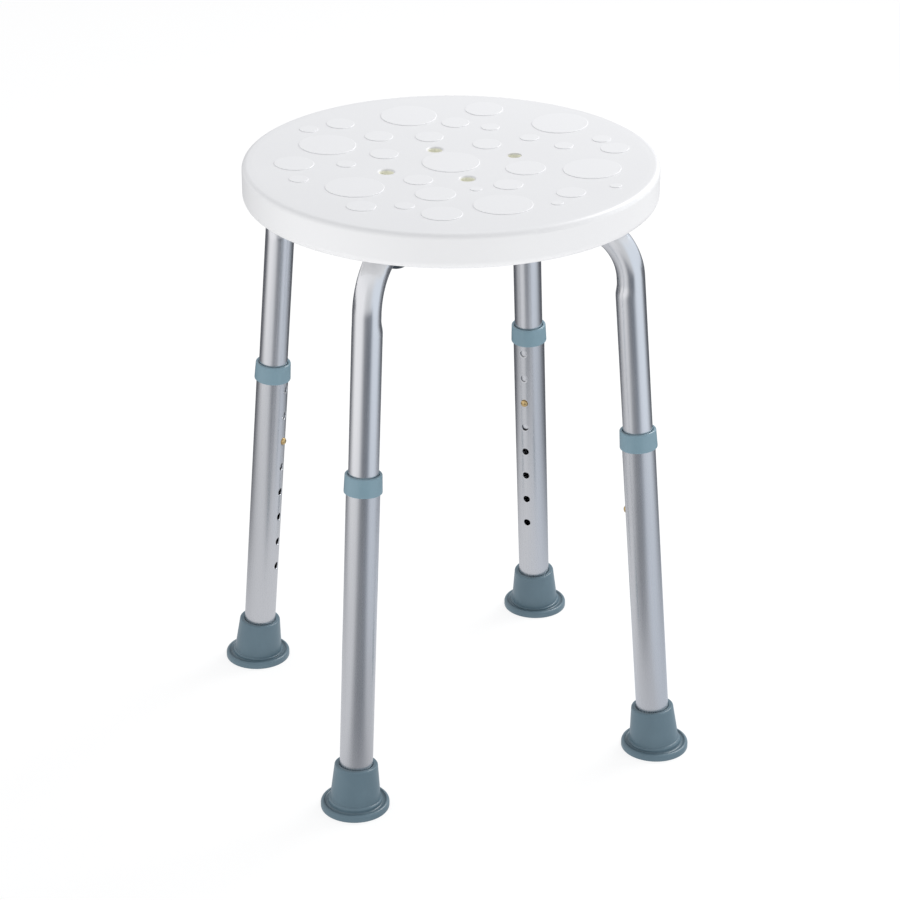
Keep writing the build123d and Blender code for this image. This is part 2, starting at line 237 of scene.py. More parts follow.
def add_node(tree, kind, settings=None, inputs=None, output=0):
    """Adds a node: its settings first, then values or links for its sockets. Returns one output."""
    node = tree.nodes.new(kind)
    for key, value in (settings or {}).items():
        setattr(node, key, value)
    for key, value in (inputs or {}).items():
        if isinstance(value, Socket):
            tree.links.new(value.socket, node.inputs[key])
        else:
            node.inputs[key].default_value = value
    return Socket(tree, node.outputs[output])


class Shader:
    """Adds nodes to one tree, of a material or of the world."""

    def __init__(self, owner):
        owner.use_nodes = True
        self.tree = owner.node_tree

    def node(self, kind, settings=None, inputs=None, output=0):
        return add_node(self.tree, kind, settings, inputs, output)

    def noise(self, place, scale, detail=3.0, stretch=(1, 1, 1)):
        """Soft noise from 0 to 1 at a scale in cycles a metre, stretched along an axis."""
        spread = self.node("ShaderNodeMapping", {}, {"Vector": place, "Scale": stretch})
        return self.node("ShaderNodeTexNoise", {}, {"Vector": spread, "Scale": scale, "Detail": detail})

    def blend(self, share, one, other):
        """Colour mix: one where share is 0 and other where it is 1.

        A Mix node has sockets for numbers and colours side by side. Those for colours are 6 and 7,
        and the colour comes out at 2.
        """
        return self.node("ShaderNodeMix", {"data_type": "RGBA"}, {0: share, 6: one, 7: other}, 2)

    def ramp(self, value, low, high):
        """Soft step from 0 at low to 1 at high."""
        settings = {"interpolation_type": "SMOOTHSTEP"}
        return self.node("ShaderNodeMapRange", settings, {"Value": value, "From Min": low, "From Max": high})

    def dot(self, place, direction):
        """How far a place lies along a direction."""
        settings = {"operation": "DOT_PRODUCT"}
        return self.node("ShaderNodeVectorMath", settings, {0: place, 1: direction}, "Value")


class Finish(Shader):
    """One material on a Principled shader. The constants are values for its sockets, by name."""

    def __init__(self, name, **constants):
        self.material = bpy.data.materials.new(name)
        super().__init__(self.material)
        self.shader = self.tree.nodes["Principled BSDF"]
        for key, value in constants.items():
            self.shader.inputs[key.replace("_", " ").title()].default_value = value

    def place(self):
        """Where a point lies in the stool, in metres."""
        return self.node("ShaderNodeTexCoord", output="Object")

    def set(self, socket, value):
        """Links what varies over the surface to a socket of the shader."""
        self.tree.links.new(value.socket, self.shader.inputs[socket])

    def bump(self, height, depth):
        """Bump of a height from 0 to 1 that stands for a depth in metres."""
        settings = {"Height": height, "Distance": depth, "Strength": 1.0}
        self.set("Normal", self.node("ShaderNodeBump", {}, settings))


def grey(level):
    """A colour without a tint."""
    return (level, level, level, 1.0)

# %% [markdown]
# ## Seat plastic
# The seat is blow-moulded polyethylene: a cool near-white with a soft gloss. Moulded skin is never mirror smooth,
# because the mould is lightly blasted, so a very fine bump breaks the gloss up. A slow drift in colour and
# roughness stands for wall thickness and handling. The colour also follows the shape: a formula for the dished top
# tells a point on it from one on a disc or in a hole, so no painted mask is needed. The same formula places
# painted light: paler sides on the discs and warm light in the drain holes.
# %% Seat finish
SEAT_TOP = 511.5 * MM
DISH_RADIUS = 164.0 * MM
DISH_DEPTH = 3.5 * MM
DISC_HEIGHT = 0.6 * MM
DRAIN_LONG, DRAIN_SHORT = 56.5 * MM, 38.0 * MM
DRAIN_RADIUS = 6.0 * MM
SKIN_THICK, SKIN_THIN = (0.795, 0.796, 0.802, 1), (0.813, 0.814, 0.82, 1)
DISC_TOP = (0.828, 0.829, 0.835, 1)
DISC_SIDE_PAINTED_LIGHT = (0.955, 0.955, 0.96, 1)
DRAIN_PAINTED_LIGHT = (0.98, 0.975, 0.86, 1)


def seat_finish():
    """Colours by place: paler discs, palest at their sides where light is painted on, and painted warm light in
    the drain holes.

    The dish is part of a ball of radius (R squared + d squared) / 2 d, so its floor lies r squared
    / 2 ball above its middle. `rise` is a point's height over that floor: 0 on the dish, the height
    of the discs on a disc, and below 0 in a drain hole.
    """
    finish = Finish("seat_plastic_finish")
    place = finish.place()
    x, y, z = [finish.node("ShaderNodeSeparateXYZ", {}, {0: place}, axis) for axis in range(3)]
    radius = (x * x + y * y) ** 0.5
    ball = (DISH_RADIUS**2 + DISH_DEPTH**2) / (2 * DISH_DEPTH)
    rise = z - (SEAT_TOP - DISH_DEPTH) - radius * radius * (0.5 / ball)
    dish = 1 - finish.ramp(radius, DISH_RADIUS - 2 * MM, DISH_RADIUS - MM)
    disc = finish.ramp(rise, 0.2 * DISC_HEIGHT, 0.9 * DISC_HEIGHT) * dish
    # Painted light: the step walls round the discs are made paler, against the shade that falls on them.
    step = finish.ramp(rise, 0.2 * DISC_HEIGHT, 0.4 * DISC_HEIGHT) * dish
    step = step * (1 - finish.ramp(rise, 0.8 * DISC_HEIGHT, 0.98 * DISC_HEIGHT))
    # Painted light: a pale warm colour in the drain holes stands for light falling into them.
    along = ((abs(x) - DRAIN_LONG) ** 2 + y * y) ** 0.5
    aside = (x * x + (abs(y) - DRAIN_SHORT) ** 2) ** 0.5
    bore = 1 - finish.ramp(along.at_most(aside), DRAIN_RADIUS, DRAIN_RADIUS + MM)
    bore = bore * (1 - finish.ramp(rise, -2 * MM, -0.6 * MM))
    drift = finish.noise(place, 9.0)
    grain = finish.noise(place, 1400.0, 2.0)
    skin = finish.blend(drift, SKIN_THICK, SKIN_THIN)
    skin = finish.blend(disc, skin, DISC_TOP)
    skin = finish.blend(step, skin, DISC_SIDE_PAINTED_LIGHT)
    finish.set("Base Color", finish.blend(bore, skin, DRAIN_PAINTED_LIGHT))
    finish.set("Roughness", 0.34 + drift * 0.1)
    finish.bump(grain, 0.012 * MM)
    return finish.material


FINISH = {"seat_plastic": seat_finish()}
print("seat plastic:", len(FINISH["seat_plastic"].node_tree.nodes), "nodes")

# %% [markdown]
# ## Anodised aluminium
# Both tubes are drawn aluminium with a clear anodised skin. Drawing leaves faint streaks along the
# tube, and anodising gives the metal a satin sheen that is duller on the thicker lower tubes. The
# streaks have to follow the bend, so they don't use object coordinates: each tube carries an
# attribute named `straight`, its points as they lay before the tube was bent.
# %% Tube finishes
def tube_finish(name, tint, roughness, grain):
    """Metal with streaks along the tube. `grain` is how much its roughness varies."""
    finish = Finish(name, metallic=1.0)
    place = finish.node("ShaderNodeAttribute", {"attribute_name": "straight"}, output="Vector")
    streak = finish.noise(place, 1300.0, 2.0, (1, 1, 0.012))
    cloud = finish.noise(place, 45.0, 3.0, (1, 1, 0.5))
    speck = finish.noise(place, 2600.0, 1.0)
    dark = tuple(0.94 * t for t in tint)
    finish.set("Base Color", finish.blend(streak * 0.7 + cloud * 0.3, (*dark, 1), (*tint, 1)))
    finish.set("Roughness", roughness + (streak - 0.5) * grain + (cloud - 0.5) * grain)
    finish.bump(streak * 0.6 + speck * 0.4, 0.004 * MM)
    return finish.material


FINISH["upper_aluminium"] = tube_finish("upper_tube_finish", (0.85, 0.855, 0.87), roughness=0.26, grain=0.05)
FINISH["lower_aluminium"] = tube_finish("lower_tube_finish", (0.76, 0.765, 0.78), roughness=0.27, grain=0.06)
print("tubes:", len(FINISH["upper_aluminium"].node_tree.nodes), "nodes each")

# %% [markdown]
# ## Rubber, plastics, brass and steel
# The feet are matt moulded rubber, with a fine grain and a paler bloom where air and water reach it.
# The collars are a smoother plastic of the same family of blue-grey, and the clamps a dark one. The
# snap buttons are brass, the screws and washers zinc-plated steel and the springs bare steel. One
# function serves each kind of material. The construction's own nodes get these finishes first, and
# those that stay in view keep them.
# %% Other finishes
RUBBER_DARK, RUBBER_BLOOM = (0.096, 0.152, 0.188, 1), (0.119, 0.183, 0.223, 1)


def rubber_finish():
    """Rubber whose bloom makes it paler and rougher in patches."""
    finish = Finish("foot_rubber_finish")
    place = finish.place()
    cloud = finish.noise(place, 60.0, 4.0)
    grain = finish.noise(place, 1800.0, 2.0)
    finish.set("Base Color", finish.blend(cloud, RUBBER_DARK, RUBBER_BLOOM))
    finish.set("Roughness", 0.28 + cloud * 0.1)
    finish.bump(grain, 0.02 * MM)
    return finish.material


def plastic_finish(name, tint, roughness):
    """Moulded plastic, with its roughness where the mould was smoothest."""
    finish = Finish(name)
    place = finish.place()
    cloud = finish.noise(place, 90.0, 3.0)
    grain = finish.noise(place, 2200.0, 2.0)
    pale = tuple(min(1.0, 1.08 * t) for t in tint)
    finish.set("Base Color", finish.blend(cloud, (*tint, 1), (*pale, 1)))
    finish.set("Roughness", roughness + cloud * 0.08)
    finish.bump(grain, 0.01 * MM)
    return finish.material


def metal_finish(name, tint, roughness):
    """Plated or bare metal with small dull patches, and its roughness between them."""
    finish = Finish(name, metallic=1.0)
    place = finish.place()
    cloud = finish.noise(place, 400.0, 3.0)
    dark = tuple(0.85 * t for t in tint)
    finish.set("Base Color", finish.blend(cloud, (*dark, 1), (*tint, 1)))
    finish.set("Roughness", roughness + cloud * 0.12)
    finish.bump(finish.noise(place, 3000.0, 1.0), 0.005 * MM)
    return finish.material


FINISH["collar_plastic"] = plastic_finish("collar_finish", (0.185, 0.285, 0.34), roughness=0.18)
FINISH["bracket_plastic"] = plastic_finish("clamp_finish", (0.025, 0.04, 0.058), roughness=0.4)
FINISH["foot_rubber"] = rubber_finish()
FINISH["button_brass"] = metal_finish("brass_finish", (0.74, 0.53, 0.25), roughness=0.13)
FINISH["screw_steel"] = metal_finish("screw_finish", (0.6, 0.6, 0.61), roughness=0.28)
FINISH["spring_steel"] = metal_finish("spring_finish", (0.5, 0.5, 0.52), roughness=0.3)
FINISH["washer_steel"] = metal_finish("washer_finish", (0.6, 0.6, 0.61), roughness=0.3)
for subpart in frame["record"]["subparts"]:
    node = frame["nodes"][subpart["node"]]
    for slot in node.material_slots:
        slot.material = FINISH[subpart["material_slot"]]
print("finishes:", len(FINISH))

# %% [markdown]
# ## A tube wall with round holes
# Each lower tube has a row of eight button holes and each upper tube has one. A hole could be cut
# with a Boolean, but that leaves long thin faces that shade badly on polished metal. Here the wall
# is laid out flat as a grid, a square block of cells is left out round each hole, and rings of
# points fill the block by sliding from the hole's circle to the block's outline. The same layout,
# moved inwards by the wall's thickness, is the bore, and strips join the two at holes and ends.
# %% Wall layout
COLUMNS = 72
BLOCK = 6  # cells from a hole's centre to its block's side
RING_SHARES = np.array([0.0, 0.035, 0.09, 0.22, 0.45, 0.72])  # way from circle to block


def wall_layout(rows, radius, holes, hole_radius):
    """Flat layout of a tube wall.

    `rows` are distances along the tube, evenly spaced within a block, and `holes` the row numbers of
    the hole centres. Returns the points as (distance along, distance round, edge), the quads and the
    loops of points at the holes. `edge` falls from 1 at a hole's edge to 0.
    """
    pitch = 2 * np.pi * radius / COLUMNS
    along, column = np.meshgrid(rows, np.arange(COLUMNS), indexing="ij")
    around = (column - COLUMNS * (column > COLUMNS // 2)) * pitch
    points = [np.stack([along, around, 0 * along], axis=-1).reshape(-1, 3)]
    cell = grid_quads(len(rows), COLUMNS)
    row, col = np.divmod(np.arange(len(cell)), COLUMNS)
    col = np.where(col >= COLUMNS // 2, col - COLUMNS, col)
    outside = np.ones(len(cell), bool)
    quads, loops, count = [], [], len(points[0])
    steps = np.arange(2 * BLOCK)
    offsets = np.concatenate(
        [
            np.stack([0 * steps + BLOCK, steps - BLOCK], 1),
            np.stack([BLOCK - steps, 0 * steps + BLOCK], 1),
            np.stack([0 * steps - BLOCK, BLOCK - steps], 1),
            np.stack([steps - BLOCK, 0 * steps - BLOCK], 1),
        ]
    )
    for hole in holes:
        outside &= ~((abs(row + 0.5 - hole) < BLOCK) & (abs(col + 0.5) < BLOCK))
        outline = (hole + offsets[:, 0]) * COLUMNS + offsets[:, 1] % COLUMNS
        border = points[0][outline][:, :2]
        spoke = border - [rows[hole], 0]
        circle = [rows[hole], 0] + spoke * hole_radius / np.linalg.norm(spoke, axis=1, keepdims=True)
        share = RING_SHARES[:, None, None]
        rings = circle + (border - circle) * share
        edge = np.broadcast_to((1 - share / RING_SHARES[2]).clip(0) ** 2, rings.shape[:2] + (1,))
        points.append(np.concatenate([rings, edge], axis=-1).reshape(-1, 3))
        index = count + np.arange(len(RING_SHARES) * len(outline)).reshape(len(RING_SHARES), -1)
        quads.append(band_quads(np.vstack([index, outline])))
        loops.append(index[0])
        count += len(RING_SHARES) * len(outline)
    return np.vstack(points), np.vstack([cell[outside], *quads]), loops


def hollow(outer, inner, quads, loops, row_count):
    """Joins an outer and an inner layout into a closed wall, at the hole loops and at both ends."""
    count = len(outer)
    first = np.arange(COLUMNS)
    last = first + (row_count - 1) * COLUMNS
    strips = [
        np.stack([loop, np.roll(loop, -1), np.roll(loop, -1) + count, loop + count], axis=-1)
        for loop in [*[turned[::-1] for turned in loops], first[::-1], last]
    ]
    return np.vstack([outer, inner]), np.vstack([quads, quads[:, ::-1] + count, *strips])


def spaced(stops, spacing):
    """Distances from stop to stop, in even steps of at most `spacing`."""
    parts = [
        np.linspace(a, b, max(1, math.ceil((b - a) / spacing - 1e-6)), endpoint=False)
        for a, b in zip(stops, stops[1:])
    ]
    return np.append(np.concatenate(parts), stops[-1])

# %% [markdown]
# ## Lower tubes
# A lower tube is the 28 mm tube that stands in the foot. Its holes face the stool's axis, and the
# punch that makes them rolls the edge in a little, which catches the light. `edge` from the layout
# sinks the points at a hole by that much.
# %% Make the lower tubes
LOWER_RADIUS = 14.0 * MM
UPPER_RADIUS = 12.5 * MM
TUBE_WALL = 1.2 * MM
HOLE_RADIUS = 3.3 * MM
HOLE_PITCH = 25.4 * MM
HOLE_COUNT = 8
BUTTON_HOLE = 2  # the button stands in the third hole from the top
EDGE_ROLL = 0.22 * MM
ROW_SPACING = 9.0 * MM

button_height = node_points("snap_button", "front_left")[:, 2]
button_place = (button_height.min() + button_height.max()) / 2
lower_low, lower_high = reach("lower_leg_tube")
collar_low, collar_high = reach("collar")
hole_places = np.sort(button_place + HOLE_PITCH * (BUTTON_HOLE - np.arange(HOLE_COUNT)))
print(f"lower tube from {lower_low / MM:.1f} to {lower_high / MM:.1f} mm")
print(f"button at {button_place / MM:.1f} mm")


def rows_with_blocks(low, high, places, radius):
    """Row distances with a fine, even block of rows round each hole, and the holes' row numbers."""
    pitch = 2 * np.pi * radius / COLUMNS
    block = np.arange(-BLOCK, BLOCK + 1) * pitch
    rows, stop = [], low
    for place in places:
        rows.append(spaced([stop, place - BLOCK * pitch], ROW_SPACING)[:-1])
        rows.append(place + block[:-1])
        stop = place + BLOCK * pitch
    rows.append(spaced([stop, high], ROW_SPACING))
    rows = np.concatenate(rows)
    return rows, [int(np.argmin(abs(rows - place))) for place in places]


def straight_tube(layout, radius, sink):
    """A straight tube from its layout: (s, u) becomes (r cos(u / r0), r sin(u / r0), s)."""
    angle = layout[:, 1] / radius
    r = radius - sink - EDGE_ROLL * layout[:, 2]
    return np.stack([r * np.cos(angle), r * np.sin(angle), layout[:, 0]], axis=-1)


def make_lower_tubes():
    """One straight tube with eight holes, placed in each leg. Its bore has no rolled edges."""
    rows, holes = rows_with_blocks(lower_low, lower_high, hole_places, LOWER_RADIUS)
    layout, quads, loops = wall_layout(rows, LOWER_RADIUS, holes, HOLE_RADIUS)
    outer = straight_tube(layout, LOWER_RADIUS, 0)
    inner = straight_tube(layout * [1, 1, 0], LOWER_RADIUS, TUBE_WALL)
    points, faces = hollow(outer, inner, quads, loops, len(rows))
    for leg in LEGS:
        make_piece(
            f"lower_tube_{leg}", placed(points, SPACE[leg]), faces, FINISH["lower_aluminium"],
            f"lower_leg_{leg}", f"lower_leg_tube_{leg}", points,
        )
    print("lower tubes:", len(faces), "faces each")


make_lower_tubes()

# %% [markdown]
# ## Upper tubes
# An upper tube slides in the lower one, and above it bends inwards to lie in a channel under the
# seat. It is bent without a mandrel, so the wall on the inner half of the bend sinks in, from the
# mark that the bending clamp leaves. The tube is the same flat layout carried along a path: a
# straight, an arc and a straight in the leg's upright plane. The dent is taken off the radius.
# %% Make the upper tubes
BEND_RADIUS = 44.0 * MM
BEND_SPACING = 1.6 * MM
FINE_BEFORE, FINE_AFTER = 24.0 * MM, 6.0 * MM
BUTTON_REACH = 20.0 * MM
DENT_DEPTH = 1.6 * MM
DENT_FLAT, DENT_WIDE = math.radians(50), math.radians(135)
CLAMP_MARK = (16.0 * MM, 5.0 * MM)
DENT_FADE = 25.0 * MM

upper_low, _ = reach("upper_leg_tube")
run_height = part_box("upper_leg_tube_front_left")[1].z - UPPER_RADIUS
upper_points = placed(node_points("upper_leg_tube", "front_left"), SPACE["front_left"])
run_end = (upper_points[:, :2] @ (SPACE["front_left"][:2, 3] / FOOT_CIRCLE)).min()
corner = FOOT_CIRCLE - run_height * math.tan(SPLAY)
turn = math.pi / 2 - SPLAY
tangent = BEND_RADIUS * math.tan(turn / 2)
bend_start = run_height / math.cos(SPLAY) - tangent
bend_end = bend_start + BEND_RADIUS * turn
upper_length = bend_end + (corner - tangent - run_end)
print(f"bend from {bend_start / MM:.1f} to {bend_end / MM:.1f} mm along the tube")


def tube_path(s):
    """Centre and inward direction at each distance s from the floor, in the leg's upright plane.

    The first axis points away from the stool's axis and the second up. Up to the bend the centre
    climbs the leaning line, in the bend it turns on a circle, and after it runs level inwards.
    """
    bent = np.clip((s - bend_start) / BEND_RADIUS, 0, turn)
    heading = math.pi / 2 + SPLAY + bent
    middle = np.array([corner + tangent * math.sin(SPLAY), run_height - tangent * math.cos(SPLAY)])
    pivot = middle + BEND_RADIUS * np.array([-math.cos(SPLAY), -math.sin(SPLAY)])
    centre = pivot + BEND_RADIUS * np.stack([np.sin(heading), -np.cos(heading)], axis=-1)
    before, after = np.minimum(s - bend_start, 0), np.maximum(s - bend_end, 0)
    ahead = np.stack([np.cos(heading), np.sin(heading)], axis=-1)
    inward = np.stack([-np.sin(heading), np.cos(heading)], axis=-1)
    return centre + (before + after)[:, None] * ahead, inward


def bent_tube(layout, radius, sink):
    """A bent tube from its layout: the circle of each row stands across the path.

    The radius loses a dent on the inner half of the bend. It deepens over the mark of the bending
    clamp, a little before the bend, and fades over the bend's last stretch.
    """
    s, angle = layout[:, 0], layout[:, 1] / radius
    inside = 1 - smooth(DENT_FLAT, DENT_WIDE, abs(angle))
    dent = smooth(bend_start - CLAMP_MARK[0], bend_start - CLAMP_MARK[1], s)
    dent = dent * (1 - smooth(bend_end - DENT_FADE, bend_end, s))
    r = radius - sink - EDGE_ROLL * layout[:, 2] - DENT_DEPTH * inside * dent
    centre, inward = tube_path(s)
    across = (r * np.cos(angle))[:, None] * inward
    return np.stack([centre[:, 0] + across[:, 0], r * np.sin(angle), centre[:, 1] + across[:, 1]], axis=-1)


def upright_plane(leg):
    """Matrix from a leg's upright plane, with X away from the stool's axis and Z up, to the stool's."""
    out = Vector((*SPACE[leg][:2, 3], 0)).normalized()
    side = Vector(SPACE[leg][:3, 1])
    return np.array([[*out, 0], [*side, 0], [0, 0, 1, 0], [0, 0, 0, 1]]).T


def make_upper_tubes():
    """One bent tube with a hole for its button, placed in each leg.

    Its rows are close together at the hole and in the bend, and wide apart between them. The same
    layout rolled into a straight tube gives the finish its places.
    """
    rows, holes = rows_with_blocks(upper_low, button_place + BUTTON_REACH, [button_place], UPPER_RADIUS)
    fine = spaced([bend_start - FINE_BEFORE, bend_end + FINE_AFTER], BEND_SPACING)
    rows = np.concatenate([rows[:-1], spaced([rows[-1], fine[0]], ROW_SPACING)[:-1], fine])
    rows = np.append(rows[:-1], spaced([fine[-1], upper_length], ROW_SPACING))
    layout, quads, loops = wall_layout(rows, UPPER_RADIUS, holes, HOLE_RADIUS)
    outer = bent_tube(layout, UPPER_RADIUS, 0)
    inner = bent_tube(layout * [1, 1, 0], UPPER_RADIUS, TUBE_WALL)
    points, faces = hollow(outer, inner, quads, loops, len(rows))
    flat = straight_tube(layout, UPPER_RADIUS, 0)
    straight = np.vstack([flat, straight_tube(layout, UPPER_RADIUS, TUBE_WALL)])
    for leg in LEGS:
        make_piece(
            f"upper_tube_{leg}", placed(points, upright_plane(leg)), faces, FINISH["upper_aluminium"],
            "frame", f"upper_leg_tube_{leg}", straight,
        )
    print("upper tubes:", len(faces), "faces each")


make_upper_tubes()

# %% [markdown]
# ## Collars
# A plastic collar caps each lower tube and centres the upper one. It is a turned shape: a tapered
# sleeve with a rounded top lip, a funnel round the inner tube and a rounded lower edge. One
# profile, spun about the leg's axis, gives it, and arcs make the rounds.
# %% Make the collars
COLLAR_RADIUS = 15.9 * MM
COLLAR_TOP_RADIUS = 15.4 * MM
COLLAR_ROUND = 1.3 * MM
COLLAR_BOTTOM_ROUND = 0.9 * MM
FUNNEL_ROUND = 1.0 * MM
RUNNING_GAP = 0.3 * MM
GRIP_GAP = 0.1 * MM
HOLD = 0.25 * MM
RING_COLUMNS = 96


def collar_profile():
    """Outside upwards, over the lip, down the funnel and bore, and back under the sleeve."""
    grip, guide = LOWER_RADIUS + GRIP_GAP, UPPER_RADIUS + RUNNING_GAP
    low, high = collar_low, collar_high
    foot = (COLLAR_RADIUS - COLLAR_BOTTOM_ROUND, low + COLLAR_BOTTOM_ROUND)
    crown = (COLLAR_TOP_RADIUS - COLLAR_ROUND, high - COLLAR_ROUND)
    funnel = (guide + FUNNEL_ROUND, high - FUNNEL_ROUND)
    profile = np.vstack(
        [
            [(grip, low)],
            arc(foot, COLLAR_BOTTOM_ROUND, -90, 0, 7),
            arc(crown, COLLAR_ROUND, 2, 90, 10),
            arc(funnel, FUNNEL_ROUND, 90, 180, 8),
            [(guide, lower_high), (grip, lower_high), (grip, low)],
        ]
    )
    return held(profile, HOLD)


def make_collars():
    """One ring spun from the profile, placed on each lower tube."""
    points = spun(collar_profile(), RING_COLUMNS)
    faces = grid_quads(*points.shape[:2])
    for leg in LEGS:
        make_piece(
            f"collar_ring_{leg}", placed(points.reshape(-1, 3), SPACE[leg]), faces,
            FINISH["collar_plastic"], f"lower_leg_{leg}", f"collar_{leg}",
        )
    print("collars:", len(faces), "faces each")


make_collars()

# %% [markdown]
# ## Feet
# A rubber foot has a level flange on the floor and a cone that leans with its tube, with a bead at
# the cone's root and a valley round it. Each row of the profile is a circle, and one number says how
# far that circle leans: 0 in the flange, 1 in the cone and in between at the root. A point is the
# mix of its level place and its leaning place.
# %% Make the feet
FLANGE_RADIUS = 29.0 * MM
FLANGE_HEIGHT = 6.0 * MM
FLANGE_ROUND = 2.4 * MM
SOLE_ROUND = 0.7 * MM
CONE_RADIUS = 21.0 * MM
CONE_TOP_RADIUS = 18.3 * MM
RIM_ROUND = 1.5 * MM
VALLEY_PLACE = (24.3 * MM, 7.3 * MM)
VALLEY_ROUND = 2.6 * MM
BEAD_PLACE = (21.3 * MM, 6.6 * MM)
BEAD_ROUND = 1.4 * MM
SOCKET_FLOOR = 7.0 * MM
SOCKET_FLARE = 1.1 * MM
GROOVES = [(11.0 * MM, 14.0 * MM), (19.0 * MM, 22.0 * MM)]
GROOVE_DEPTH = 1.0 * MM
LEAN_ROWS = (4, 24)  # rows of the root over which the circles go from level to leaning
_, foot_high = reach("foot")


def foot_profile():
    """Rows of (radius, height, lean) from the middle of the sole, outside and over the rim, to the socket."""
    sole = [(0, 0)]
    for inner, outer in GROOVES:
        sole += [(inner, 0), (inner, GROOVE_DEPTH), (outer, GROOVE_DEPTH), (outer, 0)]
    flange = np.vstack(
        [
            sole,
            arc((FLANGE_RADIUS - SOLE_ROUND, SOLE_ROUND), SOLE_ROUND, -90, 0, 6),
            arc((FLANGE_RADIUS - FLANGE_ROUND, FLANGE_HEIGHT - FLANGE_ROUND), FLANGE_ROUND, 0, 100, 12),
        ]
    )
    taper = (CONE_RADIUS - CONE_TOP_RADIUS) / (foot_high - FLANGE_HEIGHT)
    valley = arc(VALLEY_PLACE, VALLEY_ROUND, 310, 232, 10)
    root = np.vstack([valley, arc(BEAD_PLACE, BEAD_ROUND, -20, 88, 12)])
    top = (CONE_TOP_RADIUS - RIM_ROUND, foot_high - RIM_ROUND)
    socket = LOWER_RADIUS + GRIP_GAP
    flare = arc((socket + SOCKET_FLARE, foot_high - SOCKET_FLARE), SOCKET_FLARE, 90, 180, 7)
    cone = np.vstack([root, arc(top, RIM_ROUND, math.degrees(taper), 90, 10), flare])
    well = [(socket, SOCKET_FLOOR), (0, SOCKET_FLOOR)]
    flange, cone = held(flange, HOLD), held(np.vstack([cone, well]), HOLD)
    lean = np.concatenate([np.zeros(len(flange)), smooth(*LEAN_ROWS, np.arange(len(cone)))])
    return np.column_stack([np.vstack([flange, cone]), lean])


def make_feet():
    """One foot spun from its profile, with a level and a leaning place mixed for each leg."""
    profile = foot_profile()
    points = spun(profile[:, :2], RING_COLUMNS)
    faces = grid_quads(*points.shape[:2])
    lean = profile[:, 2][:, None, None]
    for leg in LEGS:
        # In a leg's space X points at the stool's axis, so the upright plane's X is turned round.
        level = upright_plane(leg) @ np.diag([-1, 1, 1, 1])
        level[:3, 3] = SPACE[leg][:3, 3]
        mixed = placed(points, level) * (1 - lean) + placed(points, SPACE[leg]) * lean
        make_piece(
            f"rubber_foot_{leg}", mixed, faces, FINISH["foot_rubber"], f"lower_leg_{leg}", f"foot_{leg}",
        )
    print("feet:", len(faces), "faces each")


make_feet()

# %% [markdown]
# ## Snap buttons
# A sprung brass button stands out of one hole in each leg. Only its dome shows. It is spun about an
# axis across the tube, so the profile is made about Z and then laid on its side, towards the
# stool's axis.
# %% Make the snap buttons
BUTTON_RADIUS = 3.1 * MM
BUTTON_DOME = 1.6 * MM
HEEL_RADIUS = 4.3 * MM
HEEL_THICKNESS = 1.0 * MM
BUTTON_COLUMNS = 48


def button_profile():
    """Heel, stem and a dome on a ball of radius (s squared + d squared) / 2 d for a stem s and a dome d."""
    across = node_points("snap_button", "front_left")[:, 0]
    heel, tip = across.min(), across.max()
    ball = (BUTTON_RADIUS**2 + BUTTON_DOME**2) / (2 * BUTTON_DOME)
    half = math.degrees(math.asin(BUTTON_RADIUS / ball))
    dome = arc((0, tip - ball), ball, 90 - half, 90, 14)
    shelf = heel + HEEL_THICKNESS
    stem = [(0, heel), (HEEL_RADIUS, heel), (HEEL_RADIUS, shelf), (BUTTON_RADIUS, shelf)]
    return held(np.vstack([stem, dome]), HOLD)


def make_buttons():
    """One button spun about Z and laid on its side, so that its Z becomes the leg's X."""
    points = spun(button_profile(), BUTTON_COLUMNS)
    faces = grid_quads(*points.shape[:2])
    laid = np.stack([points[..., 2], points[..., 1], button_place - points[..., 0]], axis=-1)
    for leg in LEGS:
        make_piece(
            f"button_{leg}", placed(laid, SPACE[leg]), faces, FINISH["button_brass"],
            f"button_{leg}", f"snap_button_{leg}",
        )
    print("buttons:", len(faces), "faces each")


make_buttons()

# %% [markdown]
# ## Spring clips
# Behind each button a hairpin of flat spring steel sits in the tube: one arm presses the button out
# and the other leans on the far wall. A rounded section is swept along the hairpin's middle line.
# When the button is pressed the hairpin closes, so its far arm stays with the tube and its near arm goes with the
# button. The piece here keeps its rest shape.
# %% Make the spring clips
CLIP_WIDTH = 9.0 * MM
CLIP_THICKNESS = 0.6 * MM
CLIP_EDGE = 0.15 * MM
ARM_ROWS, BOW_ROWS = 7, 33


def clip_section():
    """Rounded rectangle of (across the steel, along its width)."""
    u, v = CLIP_THICKNESS / 2 - CLIP_EDGE, CLIP_WIDTH / 2 - CLIP_EDGE
    corners = [(u, v, 0), (-u, v, 90), (-u, -v, 180), (u, -v, 270)]
    return np.vstack([arc((a, b), CLIP_EDGE, start, start + 90, 4) for a, b, start in corners])


def clip_line():
    """The hairpin's middle line: up the near arm, round the bow and down the far arm.

    Gives where the near and the far arm stand across the leg, the height of their ends, and for
    each row its height, its turn round the bow in radians, and 1 where the steel has its full section
    or 0 where the row is a point that closes an end.
    """
    seen = node_points("spring_clip", "front_left")
    near, far = seen[:, 0].max() - CLIP_THICKNESS / 2, seen[:, 0].min() + CLIP_THICKNESS / 2
    radius = (near - far) / 2
    low, high = seen[:, 2].min(), seen[:, 2].max() - CLIP_THICKNESS / 2 - radius
    arm = np.linspace(low, high, ARM_ROWS + 1)[:-1]
    turned = np.radians(np.concatenate([0 * arm, np.linspace(0, 180, BOW_ROWS), 0 * arm + 180]))
    height = np.concatenate([arm, np.full(BOW_ROWS, high), arm[::-1]])
    row = np.clip(np.arange(len(turned) + 2) - 1, 0, len(turned) - 1)
    full = np.ones(len(row))
    full[[0, -1]] = 0
    return near, far, low, height[row], turned[row], full


